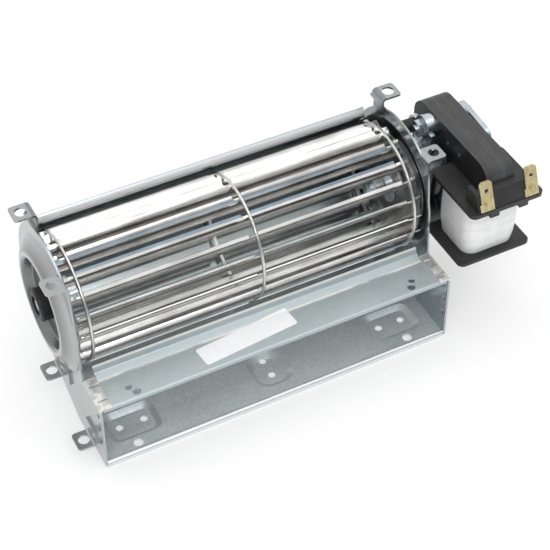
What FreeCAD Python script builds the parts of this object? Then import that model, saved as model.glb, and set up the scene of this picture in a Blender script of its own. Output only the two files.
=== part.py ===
import FreeCAD, Part
import math
import os

# Tangential blower with a shaded pole motor. Millimetres.
# Frame: X runs along the impeller from the free bearing to the motor, Y points to the
# back, Z points up. The origin lies on the mounting plane, in the middle of the row of
# screw holes in the floor of the housing.

os.makedirs("parts", exist_ok=True)
V = FreeCAD.Vector

# Impeller axis and the space between the side plates
axis_y = 35.0
axis_z = 55.0
half_inside = 84.0
plate_sheet = 1.0
plate_outside = half_inside + plate_sheet
impeller_radius = 30.0

# Scroll sheet: its arc is centred a little away from the lip, so the gap to the
# impeller widens from the rolled lip down to the ramp and the flat floor
scroll_gap = 3.6
scroll_radius = impeller_radius + scroll_gap
scroll_shift = 2.0
scroll_sheet = 0.9
lip_angle = 45.0
lip_radius = 4.0
lip_turn = 100.0
lip_end_gap = 3.4
lip_half = half_inside - lip_end_gap
lip_trim_angle = 34.0
ramp_angle = 30.0
floor_bend = 8.0
floor_under = 1.9
front_y = -17.5
front_lip_radius = 1.9

# Dished pads pressed down from the floor to the mounting plane
pad_taper = 2.6
pad_corner = 4.4
pad_corner_loss = 1.2
pad_front = -9.3
pad_rear = 8.3
pad_from_side = 18.5
pad_middle = half_inside - pad_from_side
pad_half = 12.3
pad_screw_pitch = 11.7
pad_screw_hole = 3.4
floor_hole = 4.6
floor_hole_from_side = 16.4
floor_hole_x = half_inside - floor_hole_from_side
floor_hole_y = -12.6
centre_pad_x = 2.3
centre_pad_half = 9.1
centre_pad_front = -10.7
centre_pad_rear = 9.2
centre_pad_corner = 6.4
centre_pad_hole_y = (6.2, -3.0)

# Side plate outline and the pressed gutter that the impeller rim runs in
rim_beyond = 2.6
rim_radius = scroll_radius + rim_beyond
rim_shift_y = -2.4
rim_shift_z = 1.2
plate_lap = 0.5
plate_margin = 0.45
web_top = 36.5
gutter_rise = 4.0
gutter_fall = 4.6
crest_outer = 23.0
crest_inner = 21.9
gutter_tight = 0.8
gutter_round = 1.5
gutter_shoulder = 5.0
gutter_steep = 28.0
recess_steep = 75.0
gutter_skirt = 0.4

# Fingers folded in over the ends of the tongue plate
finger_length = 4.4
finger_reach = half_inside - finger_length
finger_bend = 1.5
finger_rear = 0.9
finger_slit = 0.9
finger_slit_y = (-4.0, -12.9)
crimp_width = 3.2
crimp_rise = 0.7
crimp_spans = ((-3.0, -0.6), (-8.6, -5.0), (-16.6, -14.2))

# Fixing tabs on the upper rims of the side plates
rear_tab_y = 48.5
rear_tab_width = 9.4
rear_tab_base = 12.4
rear_tab_joggle = 2.0
rear_tab_joggle_angle = 35.0
rear_tab_joggle_radius = 2.0
rear_tab_joggle_drop = 6.9
rear_tab_foot = 24.0
rear_tab_under = 95.7
rear_tab_length = 7.0
rear_tab_end = plate_outside + rear_tab_length
rear_tab_hole = 5.6
rear_tab_hole_out = 2.5
rear_tab_hole_x = plate_outside + rear_tab_hole_out
front_tab_y = 11.4
front_tab_width = 9.4
front_tab_under = 86.7
front_tab_foot = 8.0
front_tab_length = 8.7
front_tab_end = plate_outside + front_tab_length
front_tab_hole = 5.0
front_tab_hole_out = 4.5
front_tab_hole_x = plate_outside + front_tab_hole_out
tab_bend = 1.0
tab_corner = 1.6
edge_slot_y = -14.8
edge_slot_width = 2.2
edge_slot_height = 2.0
edge_slot_z = (31.7, 23.1, 14.6)

# Lugs welded to the outside of the left plate
lug_sheet = 1.0
lug_length = 8.6
lug_end = plate_outside + lug_length
lug_bend = 2.0
lug_hole = 5.2
lug_hole_out = 4.5
lug_hole_x = plate_outside + lug_hole_out
lug_weld = 0.7
lug_weld_deep = 0.4
rear_lug_y = 29.8
rear_lug_under = 17.7
rear_lug_leg_top = 27.0
rear_lug_leg_front = 17.0
front_lug_y = -4.7
front_lug_under = 7.2
front_lug_leg_top = 16.0
lug_width = 9.8

# Tongue plate that closes the outlet at the top
tongue_sheet = 0.8
tongue_top = 37.0
tongue_fold_y = -1.6
tongue_end_gap = 0.6
tongue_half = half_inside - tongue_end_gap
tongue_finger_gap = 0.4
tongue_slant_half = finger_reach - tongue_finger_gap
tongue_slant = 19.0
tongue_slant_run = 3.2
tongue_steep = 66.0
tongue_steep_run = 2.8
tongue_hem = 0.3
tongue_nose = 1.2
tongue_bend = 1.5
tongue_crease = 1.2
tongue_small_hole = 3.1
tongue_small_from_side = 15.0
tongue_small_x = half_inside - tongue_small_from_side
tongue_small_y = -10.2
tongue_large_hole = 3.8
tongue_large_from_side = 17.2
tongue_large_x = half_inside - tongue_large_from_side
tongue_large_y = -13.7

# Bare label on the tongue plate
label_length = 46.0
label_width = 10.4
label_thickness = 0.2
label_x = -11.8
label_y = -7.05
label_turn = 5.6
label_corner = 1.2

# Impeller
blade_count = 20
blade_depth = 6.4
blade_inner = impeller_radius - blade_depth
blade_curve = 6.5
blade_sheet = 0.5
blade_sweep = 68.0
disc_sheet = 0.8
left_disc_gap = 1.3
left_disc_x = left_disc_gap - half_inside
right_disc_gap = 2.1
right_disc_x = half_inside - right_disc_gap
left_ring_in = 7.0
right_ring_in = 5.2
middle_ring_x = 3.3
ring_places = {"left": left_ring_in - half_inside, "middle": middle_ring_x,
               "right": half_inside - right_ring_in}
ring_wide = 1.3
ring_deep = 1.3
notch_reach = 2.6
notch_round = 1.2
notch_step = 0.3
hub_radius = 5.2
hub_flange = 9.0
hub_flange_sheet = 1.6
hub_length = 9.0
shaft_radius = 2.5
running_clearance = 0.03

# Free bearing in the left plate
bush_radius = 7.5
bush_round = 1.2
bush_proud = 6.0
bush_face = plate_outside + bush_proud
bush_neck = 6.2
bush_inner_lip = 7.2
bush_lip_inside = 0.5
sleeve_radius = 4.5
sleeve_sunk = 1.2
left_sleeve_out = bush_face - sleeve_sunk
shaft_sunk = 0.7
left_shaft_out = bush_face - shaft_sunk
shaft_grip = 12.0
left_shaft_in = half_inside - shaft_grip

# Motor: laminated frame, rotor, coil
motor_gap = 19.0
stack_left = plate_outside + motor_gap
stack_thick = 14.3
stack_right = stack_left + stack_thick
stack_top = 87.0
stack_bottom = 22.0
stack_rear = 51.0
stack_front = -10.5
lower_leg_front = -4.5
leg_height = 15.0
coil_top = stack_top - leg_height
coil_bottom = stack_bottom + leg_height
block_front = 18.0
stack_corner = 8.0
rotor_radius = 13.5
rotor_gap = 0.4
rotor_over = 0.3
rotor_ring = 1.0
rotor_ring_step = 0.8
rotor_ring_bore = 7.4
core_front = -3.5
core_rear = 10.0
screw_y = 36.0
screw_z_offset = 25.5
screw_radius = 2.0
screw_clearance = 0.1
rivet_radius = 1.2
rivet_sink = 0.5
rivet_y = (22.0, 12.5)
rivet_edge = 7.2
shade_inner = 14.9
shade_outer = 19.4
shade_wire = 1.5
shade_angles = (55.0, 235.0)
shade_overhang = 0.2

# Coil former, winding and terminals
flange_left = 11.6
flange_x0 = stack_left - flange_left
flange_right = 26.0
flange_x1 = stack_left + flange_right
flange_corner = 3.0
top_flange_front = -18.7
bottom_flange_front = -13.8
flange_rear = 17.2
top_flange_thick = 2.0
bottom_flange_thick = 1.5
former_wall = 1.0
coil_x_margin = 7.2
coil_front = -10.6
coil_rear = 16.4
coil_corner = 9.5
block_left = 8.0
block_x0 = stack_left - block_left
block_right = 23.4
block_x1 = stack_left + block_right
block_rear = -11.0
block_high = 7.8
block_top = coil_top + block_high
block_lean = 23.0
block_end_width = 2.4
block_end_lap = 1.0
block_end_rear = -7.0
terminal_width = 6.3
terminal_sheet = 0.8
terminal_seat = 0.4
terminal_low = coil_top + terminal_seat
terminal_length = 14.0
left_terminal = 3.2
right_terminal = 19.8
terminal_places = (stack_left - left_terminal, stack_left + right_terminal)
terminal_chamfer = 0.9
terminal_hole = 1.9
terminal_hole_drop = 4.6
terminal_shoulder = 0.8
terminal_shoulder_high = 3.6
tag_half = 1.2
tag_out = 1.4
tag_low = 3.0
tag_high = 4.6
left_peg = 2.0
right_peg = 13.0
peg_places = (stack_left - left_peg, stack_left + right_peg)
peg_width = 4.5
peg_deep = 2.0
peg_drop = 2.2

# Motor brackets, bearings, screws and isolators
front_web_gap = 5.0
front_web = stack_left - front_web_gap
web_thick = 2.4
front_web_end = front_web + web_thick
rear_web_gap = 1.6
rear_web = stack_right + rear_web_gap
rear_web_end = rear_web + web_thick
web_half = 7.0
ear_radius = 5.7
boss_radius = 7.6
boss_opening = 9.0
front_boss_long = 12.0
front_boss_end = stack_left - front_boss_long
rear_boss_long = 6.7
rear_boss_end = rear_web_end + rear_boss_long
motor_shaft_in = half_inside - shaft_grip
shaft_proud = 1.0
motor_shaft_end = rear_boss_end + shaft_proud
nut_flats = 7.0
nut_thick = 3.2
screw_proud = 1.2
screw_end = front_web - nut_thick - screw_proud
screw_head_radius = 3.6
screw_head_thick = 2.4
screw_head_round = 1.3
screw_slot = 0.8
screw_slot_deep = 1.0
arm_y0 = 31.0
arm_y1 = 37.0
arm_thick = 3.0
arm_ear_drop = 4.0
arm_foot_drop = 10.0
spider_reach = 22.6
spider_angles = (128.0, -52.0)
spider_radius = 3.6
spider_half = 3.0
post_y = 43.0
post_reach = 22.0
post_radius = 3.4
post_seat = 4.6
post_neck = 1.7
post_button = 2.0
post_button_thick = 1.0
post_button_gap = 2.4
side_ear_y = 19.5
side_ear_z = 79.6
side_ear_radius = 5.4
side_ear_low = 4.0
side_link_low = 12.0


def yz(y, z):
    return V(0, y, z)


def xz(x, z):
    return V(x, 0, z)


def polar(radius, degrees):
    """Point in the YZ plane at a radius and angle about the impeller axis."""
    turn = math.radians(degrees)
    return (axis_y + radius * math.cos(turn), axis_z + radius * math.sin(turn))


def scroll_polar(radius, degrees):
    """Point in the YZ plane at a radius and angle about the scroll's own centre."""
    away = math.radians(lip_angle + 180.0)
    turn = math.radians(degrees)
    return (axis_y + scroll_shift * math.cos(away) + radius * math.cos(turn),
            axis_z + scroll_shift * math.sin(away) + radius * math.sin(turn))


def arc_edge(centre, radius, begin, turn, place):
    points = []
    for share in (0.0, 0.5, 1.0):
        angle = math.radians(begin + turn * share)
        u = centre[0] + radius * math.cos(angle)
        v = centre[1] + radius * math.sin(angle)
        points.append(place(u, v))
    return Part.Arc(points[0], points[1], points[2]).toShape()


def bent_sheet(start, heading, steps, thickness, place):
    """Face of a bent sheet. The path is one skin, the sheet lies to its left."""
    u, v = start
    near = []
    far = []
    for step in steps:
        rad = math.radians(heading)
        left = (-math.sin(rad), math.cos(rad))
        if step[0] == "go":
            end_u = u + step[1] * math.cos(rad)
            end_v = v + step[1] * math.sin(rad)
            shift_u = left[0] * thickness
            shift_v = left[1] * thickness
            near.append(Part.LineSegment(place(u, v), place(end_u, end_v)).toShape())
            far.append(Part.LineSegment(place(u + shift_u, v + shift_v),
                                        place(end_u + shift_u, end_v + shift_v)).toShape())
            u, v = end_u, end_v
        else:
            radius, turn = step[1], step[2]
            side = 1.0 if turn > 0 else -1.0
            centre = (u + side * radius * left[0], v + side * radius * left[1])
            begin = heading - 90.0 * side
            other = radius - thickness * side
            near.append(arc_edge(centre, radius, begin, turn, place))
            far.append(arc_edge(centre, other, begin, turn, place))
            end = math.radians(begin + turn)
            u = centre[0] + radius * math.cos(end)
            v = centre[1] + radius * math.sin(end)
            heading += turn
    first = Part.LineSegment(far[0].firstVertex().Point, near[0].firstVertex().Point).toShape()
    last = Part.LineSegment(near[-1].lastVertex().Point, far[-1].lastVertex().Point).toShape()
    edges = [first] + near + [last] + far
    return Part.Face(Part.Wire(Part.__sortEdges__(edges)))


def ramp_run(rise, angle, first_radius, second_radius):
    """Straight length of an S bend that shifts a sheet by a given rise."""
    turn = math.radians(angle)
    return (rise - (first_radius + second_radius) * (1.0 - math.cos(turn))) / math.sin(turn)


def polygon_face(points, place):
    corners = [place(*point) for point in points]
    return Part.Face(Part.makePolygon(corners + [corners[0]]))


def box(x0, x1, y0, y1, z0, z1):
    return Part.makeBox(x1 - x0, y1 - y0, z1 - z0, V(x0, y0, z0))


def rod(radius, x0, x1, y=axis_y, z=axis_z):
    """Cylinder along X."""
    return Part.makeCylinder(radius, x1 - x0, V(x0, y, z), V(1, 0, 0))


def upright(radius, x, y, z0, z1):
    """Cylinder along Z."""
    return Part.makeCylinder(radius, z1 - z0, V(x, y, z0), V(0, 0, 1))


def rounded_wire(x0, x1, y0, y1, corner, z):
    """Rounded rectangle at a height."""
    edges = []
    centres = ((x1 - corner, y1 - corner, 0.0), (x0 + corner, y1 - corner, 90.0),
               (x0 + corner, y0 + corner, 180.0), (x1 - corner, y0 + corner, 270.0))
    arcs = []
    for cx, cy, begin in centres:
        arcs.append(arc_edge((cx, cy), corner, begin, 90.0, lambda u, v: V(u, v, z)))
    for index, arc in enumerate(arcs):
        following = arcs[(index + 1) % 4]
        edges.append(arc)
        edges.append(Part.LineSegment(arc.lastVertex().Point,
                                      following.firstVertex().Point).toShape())
    return Part.Wire(edges)


def rounded_block(x0, x1, y0, y1, z0, z1, corner):
    face = Part.Face(rounded_wire(x0, x1, y0, y1, corner, z0))
    return face.extrude(V(0, 0, z1 - z0))


def rounded_end(shape, x_edge, radius):
    """Round the upright corners of a tab at its free end."""
    edges = []
    for edge in shape.Edges:
        ends = [vertex.Point for vertex in edge.Vertexes]
        if len(ends) != 2:
            continue
        standing = abs(ends[0].x - ends[1].x) < 1e-6 and abs(ends[0].y - ends[1].y) < 1e-6
        if standing and abs(ends[0].x - x_edge) < 1e-6:
            edges.append(edge)
    return shape.makeFillet(radius, edges)


def mirrored(shape):
    return shape.mirror(V(0, 0, 0), V(1, 0, 0))


def save(name, solids):
    shape = solids[0] if len(solids) == 1 else Part.makeCompound(solids)
    shape.exportStep("parts/" + name + ".step")


def one(shape):
    """The single solid of a finished boolean, without the seams between its faces."""
    clean = shape.removeSplitter()
    return clean.Solids[0]


# Scroll housing: one sheet from the rolled lip round the back to the folded front edge
def scroll_housing():
    lip_centre = scroll_polar(scroll_radius + lip_radius, lip_angle)
    begin = lip_angle + 180.0 - lip_turn
    turn = math.radians(begin)
    start = (lip_centre[0] + lip_radius * math.cos(turn),
             lip_centre[1] + lip_radius * math.sin(turn))
    floor_top = floor_under + scroll_sheet
    leave = scroll_polar(scroll_radius, ramp_angle - 90.0)
    slope = math.radians(ramp_angle)
    drop = leave[1] - floor_top - floor_bend * (1.0 - math.cos(slope))
    ramp = drop / math.sin(slope)
    floor_rear = leave[0] - ramp * math.cos(slope) - floor_bend * math.sin(slope)
    steps = [("turn", lip_radius, lip_turn),
             ("turn", scroll_radius, ramp_angle - 90.0 - lip_angle),
             ("go", ramp),
             ("turn", floor_bend, -ramp_angle),
             ("go", floor_rear - front_y - front_lip_radius),
             ("turn", front_lip_radius, 90.0),
             ("go", floor_top - front_lip_radius)]
    face = bent_sheet(start, begin + 90.0, steps, scroll_sheet, yz)
    sheet = face.extrude(V(2 * half_inside, 0, 0))
    sheet.translate(V(-half_inside, 0, 0))
    trim_height = axis_z + scroll_radius * math.sin(math.radians(lip_trim_angle))
    for side in (-1, 1):
        x0, x1 = sorted((side * lip_half, side * (half_inside + 1)))
        sheet = sheet.cut(box(x0, x1, axis_y, axis_y + 50, trim_height, axis_z + 50))
        sheet = pressed_pad(sheet, side * pad_middle, pad_half, pad_front, pad_rear, pad_corner)
        for offset in (-pad_screw_pitch / 2, pad_screw_pitch / 2):
            hole = upright(pad_screw_hole / 2, side * pad_middle + offset, 0, -1, floor_top + 1)
            sheet = sheet.cut(hole)
        big = upright(floor_hole / 2, side * floor_hole_x, floor_hole_y, 0, floor_top + 1)
        sheet = sheet.cut(big)
    sheet = pressed_pad(sheet, centre_pad_x, centre_pad_half, centre_pad_front,
                        centre_pad_rear, centre_pad_corner)
    for hole_y in centre_pad_hole_y:
        sheet = sheet.cut(upright(pad_screw_hole / 2, centre_pad_x, hole_y, -1, floor_top + 1))
    return one(sheet)


def pressed_pad(sheet, middle, half, front, rear, corner):
    """Press a rounded pad down to the mounting plane, with sloping walls."""
    floor_top = floor_under + scroll_sheet
    wall = scroll_sheet / 2

    def outline(inset, rounding, z):
        return rounded_wire(middle - half + inset, middle + half - inset, front + inset,
                            rear - inset, rounding, z)

    low_corner = corner - pad_corner_loss
    inner = Part.makeLoft([outline(0.0, corner, floor_top),
                           outline(pad_taper, low_corner, scroll_sheet)], True)
    outer = Part.makeLoft([outline(-wall, corner + wall, floor_under),
                           outline(pad_taper - wall, low_corner + wall, 0.0)], True)
    return sheet.fuse(outer).cut(inner)


# Side plates: flat sheet with a pressed gutter, folded fingers and two fixing tabs
def plate_blank():
    """Round rim that follows the scroll, a straight front edge and the outlet's side."""
    rim = rod(rim_radius, half_inside, plate_outside, axis_y + rim_shift_y, axis_z + rim_shift_z)
    lap = scroll_radius + scroll_sheet + plate_lap
    middle = scroll_polar(0.0, 0.0)
    back = rod(lap, half_inside, plate_outside, middle[0], middle[1])
    tangent = scroll_polar(lap, ramp_angle - 90.0)
    bottom = floor_under - plate_margin
    meet = tangent[0] - (tangent[1] - bottom) / math.tan(math.radians(ramp_angle))
    tab_front = front_tab_y - front_tab_width / 2
    tab_rear = front_tab_y + front_tab_width / 2
    crown = front_tab_under - tab_bend
    outline = [(front_y, bottom), (meet, bottom), tangent, middle, (tab_rear, crown),
               (tab_front, crown), (finger_rear, web_top), (front_y, web_top)]
    body = polygon_face(outline, yz).extrude(V(plate_sheet, 0, 0))
    body.translate(V(half_inside, 0, 0))
    ahead = [(finger_rear, web_top), (tab_front, crown), (tab_front, crown + rim_radius),
             (front_y - rim_radius, crown + rim_radius), (front_y - rim_radius, web_top)]
    trim = polygon_face(ahead, yz).extrude(V(plate_sheet, 0, 0))
    trim.translate(V(half_inside, 0, 0))
    return body.fuse([rim, back]).cut(trim)


def gutter(hole_radius):
    """Turned profile from the flat rim over the crest to the recessed middle."""
    run = ramp_run(gutter_rise, gutter_steep, gutter_tight, gutter_shoulder)
    turn = math.radians(gutter_steep)
    width = (gutter_tight + gutter_shoulder) * math.sin(turn) + run * math.cos(turn)
    fall = ramp_run(gutter_fall, recess_steep, gutter_tight, gutter_round)
    turn = math.radians(recess_steep)
    fall_width = (gutter_tight + gutter_round) * math.sin(turn) + fall * math.cos(turn)
    start = crest_outer + width + gutter_skirt
    steps = [("go", gutter_skirt),
             ("turn", gutter_tight, -gutter_steep),
             ("go", run),
             ("turn", gutter_shoulder, gutter_steep),
             ("go", crest_outer - crest_inner),
             ("turn", gutter_round, recess_steep),
             ("go", fall),
             ("turn", gutter_tight, -recess_steep),
             ("go", crest_inner - fall_width - hole_radius)]
    face = bent_sheet((start, plate_outside), 180.0, steps, plate_sheet,
                      lambda r, x: V(x, axis_y, axis_z + r))
    return face.revolve(V(0, axis_y, axis_z), V(1, 0, 0), 360), start


def fingers():
    """Edge folded in over the tongue plate and slit into three fingers."""
    top = web_top + finger_bend
    face = bent_sheet((plate_outside, web_top - 1.0), 90.0,
                      [("go", 1.0), ("turn", finger_bend, 90.0),
                       ("go", plate_outside - finger_bend - finger_reach)],
                      plate_sheet, xz)
    strip = face.extrude(V(0, finger_rear - front_y, 0))
    strip.translate(V(0, front_y, 0))
    for slit_y in finger_slit_y:
        strip = strip.cut(box(finger_reach - 1, half_inside, slit_y - finger_slit / 2,
                              slit_y + finger_slit / 2, web_top, top + 1))
    crimps = [box(finger_reach, finger_reach + crimp_width, low, high, top - plate_sheet / 2,
                  top + crimp_rise) for low, high in crimp_spans]
    return strip.fuse(crimps)


def rear_tab(keep_out):
    """Arm joggled inward above the rim, then folded out to a tab with a hole."""
    bend = rear_tab_joggle_angle
    curve = rear_tab_joggle_radius
    run = ramp_run(rear_tab_joggle, bend, curve, curve)
    turn = math.radians(bend)
    climb = 2 * curve * math.sin(turn) + run * math.cos(turn)
    low = axis_z + rear_tab_foot
    joggle_start = rear_tab_under - rear_tab_joggle_drop
    base_steps = [("go", joggle_start - low), ("turn", curve, bend), ("go", run),
                  ("turn", curve, -bend)]
    top_steps = base_steps + [("go", rear_tab_under - tab_bend - joggle_start - climb),
                              ("turn", tab_bend, -90.0),
                              ("go", rear_tab_end - plate_outside + rear_tab_joggle - tab_bend)]
    base = bent_sheet((plate_outside, low), 90.0, base_steps, plate_sheet, xz)
    base = base.extrude(V(0, rear_tab_base, 0))
    base.translate(V(0, rear_tab_y - rear_tab_base / 2, 0))
    arm = bent_sheet((plate_outside, low), 90.0, top_steps, plate_sheet, xz)
    arm = arm.extrude(V(0, rear_tab_width, 0))
    arm.translate(V(0, rear_tab_y - rear_tab_width / 2, 0))
    arm = rounded_end(arm, rear_tab_end, tab_corner)
    whole = arm.fuse(base).cut(keep_out)
    return whole.cut(upright(rear_tab_hole / 2, rear_tab_hole_x, rear_tab_y,
                             rear_tab_under - 1, rear_tab_under + plate_sheet + 1))


def front_tab(keep_out):
    low = front_tab_under - front_tab_foot
    steps = [("go", front_tab_under - tab_bend - low), ("turn", tab_bend, -90.0),
             ("go", front_tab_end - plate_outside - tab_bend)]
    arm = bent_sheet((plate_outside, low), 90.0, steps, plate_sheet, xz)
    arm = arm.extrude(V(0, front_tab_width, 0))
    arm.translate(V(0, front_tab_y - front_tab_width / 2, 0))
    arm = rounded_end(arm, front_tab_end, tab_corner).cut(keep_out)
    return arm.cut(upright(front_tab_hole / 2, front_tab_hole_x, front_tab_y,
                           front_tab_under - 1, front_tab_under + plate_sheet + 1))


def side_plate(hole_radius):
    dish, start = gutter(hole_radius)
    keep_out = rod(start, half_inside - 5, plate_outside + 5)
    plate = plate_blank().cut(keep_out)
    plate = plate.fuse([dish, fingers(), rear_tab(keep_out), front_tab(keep_out)])
    for slot_z in edge_slot_z:
        plate = plate.cut(box(half_inside - 1, plate_outside + 1,
                              edge_slot_y - edge_slot_width / 2,
                              edge_slot_y + edge_slot_width / 2,
                              slot_z - edge_slot_height / 2, slot_z + edge_slot_height / 2))
    return plate


def left_side_plate():
    return one(mirrored(side_plate(bush_neck)))


def right_side_plate():
    plate = side_plate(boss_opening)
    for sign in (-1, 1):
        plate = plate.cut(rod(post_neck, half_inside, plate_outside + 5, post_y,
                              axis_z + sign * post_reach))
    return one(plate)


# Lugs: folded angles welded to the outside of the left plate, each with one screw hole
def lug(middle, under, leg_top, leg_front, leg_rear):
    steps = [("go", leg_top - under - lug_bend), ("turn", lug_bend, 90.0),
             ("go", lug_end - plate_outside - lug_bend)]
    angle = bent_sheet((plate_outside, leg_top), 270.0, steps, lug_sheet, xz)
    angle = angle.extrude(V(0, lug_width, 0))
    angle.translate(V(0, middle - lug_width / 2, 0))
    angle = rounded_end(angle, lug_end, tab_corner)
    leg = box(plate_outside, plate_outside + lug_sheet, leg_front, leg_rear,
              under + lug_bend, leg_top)
    whole = angle.fuse(leg)
    start = gutter(bush_neck)[1]
    whole = whole.cut(rod(start, plate_outside - 1, lug_end + 1))
    hole = upright(lug_hole / 2, lug_hole_x, middle, under - 1, under + lug_sheet + 1)
    outside = plate_outside + lug_sheet
    weld = rod(lug_weld, outside - lug_weld_deep, outside + 1,
               (leg_front + middle - lug_width / 2) / 2, (under + lug_bend + leg_top) / 2)
    return one(mirrored(whole.cut([hole, weld])))


# Tongue plate: flat over the outlet, front edge hemmed down, rear edge folded up
def tongue_layer(thickness, half):
    """Layer on the skin of the tongue plate: below it for the sheet, above for a label."""
    flat = tongue_fold_y - front_y
    steps = [("go", tongue_hem), ("turn", tongue_nose, -90.0), ("go", flat - tongue_nose),
             ("turn", tongue_bend, tongue_slant), ("go", tongue_slant_run),
             ("turn", tongue_crease, tongue_steep - tongue_slant), ("go", tongue_steep_run)]
    start = (front_y, tongue_top - tongue_nose - tongue_hem)
    layer = bent_sheet(start, 90.0, steps, thickness, yz).extrude(V(2 * half, 0, 0))
    layer.translate(V(-half, 0, 0))
    return layer


def tongue_plate():
    sheet = tongue_layer(-tongue_sheet, tongue_half)
    for side in (-1, 1):
        x0, x1 = sorted((side * tongue_slant_half, side * (tongue_half + 1)))
        sheet = sheet.cut(box(x0, x1, tongue_fold_y - 0.4, tongue_fold_y + 20,
                              tongue_top - 5, tongue_top + 20))
        sheet = sheet.cut(upright(tongue_small_hole / 2, side * tongue_small_x,
                                  tongue_small_y, tongue_top - 2, tongue_top + 2))
        sheet = sheet.cut(upright(tongue_large_hole / 2, side * tongue_large_x,
                                  tongue_large_y, tongue_top - 2, tongue_top + 2))
    return one(sheet)


# Label: thin bare sticker, slightly askew, its rear corner lapping over the fold
def blank_label():
    outline = rounded_block(-label_length / 2, label_length / 2, -label_width / 2,
                            label_width / 2, -2, 4, label_corner)
    outline.rotate(V(0, 0, 0), V(0, 0, 1), label_turn)
    outline.translate(V(label_x, label_y, tongue_top))
    return one(tongue_layer(label_thickness, label_length).common(outline))


# Impeller: discs, wire rings, hubs and bent blade strips
def blade_face():
    """Section of a blade: radial at the inner edge, curved forward to the tip."""
    steps = [("turn", blade_curve, -blade_sweep)]
    start = (axis_y + blade_inner, axis_z)
    return bent_sheet(start, 0.0, steps, blade_sheet, yz)


def notch_cutters():
    """Rings of space round each wire ring, wider at the tip than at the wire."""
    cutters = []
    floor = impeller_radius - ring_deep
    for place in ring_places.values():
        ring = rod(impeller_radius + 2, place - ring_wide / 2, place + ring_wide / 2)
        cutters.append(ring.cut(rod(floor, place - 2, place + 2)))
        wide = rod(impeller_radius + 2, place - notch_reach, place + ring_wide / 2)
        rounded = Part.makeTorus(floor + notch_round + notch_step, notch_round,
                                 V(place - notch_reach, axis_y, axis_z), V(1, 0, 0))
        mouth = wide.cut(rod(floor + notch_step, place - 5, place + 5))
        cutters.append(mouth.fuse(rounded))
    return cutters


def impeller_blades():
    left = left_disc_x + disc_sheet
    strip = blade_face().extrude(V(right_disc_x - left, 0, 0))
    strip.translate(V(left, 0, 0))
    for cutter in notch_cutters():
        strip = strip.cut(cutter)
    strip = strip.Solids[0]
    blades = []
    for index in range(blade_count):
        blade = strip.copy()
        blade.rotate(V(0, axis_y, axis_z), V(1, 0, 0), index * 360.0 / blade_count)
        blades.append(blade)
    return blades


def wire_ring(place):
    ring = rod(impeller_radius, place - ring_wide / 2, place + ring_wide / 2)
    ring = ring.cut(rod(impeller_radius - ring_deep, place - 2, place + 2))
    rims = [edge for edge in ring.Edges if edge.Closed and edge.Curve.Radius > impeller_radius - 0.1]
    return ring.makeFillet(ring_wide / 2 - 0.15, rims)


def end_disc(place, bore):
    return rod(impeller_radius, place, place + disc_sheet).cut(rod(bore, place - 1, place + 2))


def hub(inner_face, side):
    """Riveted hub: flange on the inner face of the disc and a spigot through the disc."""
    flange = rod(hub_flange, 0, hub_flange_sheet)
    boss = rod(hub_radius, 0, hub_length)
    spigot = rod(hub_radius, -disc_sheet, 0)
    body = flange.fuse([boss, spigot]).cut(rod(shaft_radius, -5, hub_length + 5))
    body = one(body)
    if side > 0:
        body = mirrored(body)
    body.translate(V(inner_face, 0, 0))
    return body


# Free bearing: sleeve in a rubber bush that grips the left plate
def left_bush():
    face_out = -bush_face
    recess_out = -(plate_outside + gutter_rise - gutter_fall)
    recess_in = recess_out + plate_sheet
    outer = rod(bush_radius, face_out, recess_out)
    rims = [edge for edge in outer.Edges if edge.Closed and edge.CenterOfMass.x < face_out + 0.1]
    outer = outer.makeFillet(bush_round, rims)
    neck = rod(bush_neck, recess_out, recess_in)
    inner = rod(bush_inner_lip, recess_in, recess_in + bush_lip_inside)
    body = outer.fuse([neck, inner])
    return one(body.cut(rod(sleeve_radius, face_out - 1, recess_in + 2)))


def sleeve(x0, x1):
    return rod(sleeve_radius, x0, x1).cut(rod(shaft_radius + running_clearance, x0 - 1, x1 + 1))


# Motor frame: stacked laminations in the shape of a C, closed in front by the coil core
def stator_stack():
    outline = rounded_prism(stack_front, stack_rear, stack_bottom, stack_top, stack_corner,
                            stack_left, stack_right)
    lower = rounded_prism(lower_leg_front, stack_rear, stack_bottom, coil_top, stack_corner,
                          stack_left, stack_right)
    upper = box(stack_left, stack_right, stack_front, stack_rear, axis_z, stack_top)
    outline = outline.common(upper.fuse(lower))
    window = box(stack_left - 1, stack_right + 1, stack_front - 1, block_front,
                 coil_bottom, coil_top)
    stack = outline.cut(window)
    stack = stack.cut(rod(rotor_radius + rotor_gap, stack_left - 1, stack_right + 1))
    for sign in (-1, 1):
        stack = stack.cut(rod(screw_radius + screw_clearance, stack_left - 1, stack_right + 1,
                              screw_y, axis_z + sign * screw_z_offset))
    for place in rivet_places():
        stack = stack.cut(rod(rivet_radius, stack_left - 1, stack_right + 1, place[0], place[1]))
    for angle in shade_angles:
        for radius in (shade_inner, shade_outer):
            stack = stack.cut(shade_leg(angle, radius, stack_left - 1, stack_right + 1))
    return one(stack)


def rivet_places():
    """Two rivets in each leg of the stack, above each other."""
    return [(y, z) for z in (stack_top - rivet_edge, stack_bottom + rivet_edge)
            for y in rivet_y]


def rounded_prism(y0, y1, z0, z1, corner, x0, x1):
    """Block along X with its four long edges rounded."""
    block = box(x0, x1, y0, y1, z0, z1)
    edges = []
    for edge in block.Edges:
        ends = [vertex.Point for vertex in edge.Vertexes]
        if abs(ends[0].y - ends[1].y) < 1e-6 and abs(ends[0].z - ends[1].z) < 1e-6:
            edges.append(edge)
    return block.makeFillet(corner, edges)


def coil_core():
    return box(stack_left, stack_right, core_front, core_rear, coil_bottom, coil_top)


def stack_rivets():
    pins = []
    for place in rivet_places():
        pins.append(rod(rivet_radius, stack_left + rivet_sink, stack_right - rivet_sink,
                        place[0], place[1]))
    return pins


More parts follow.
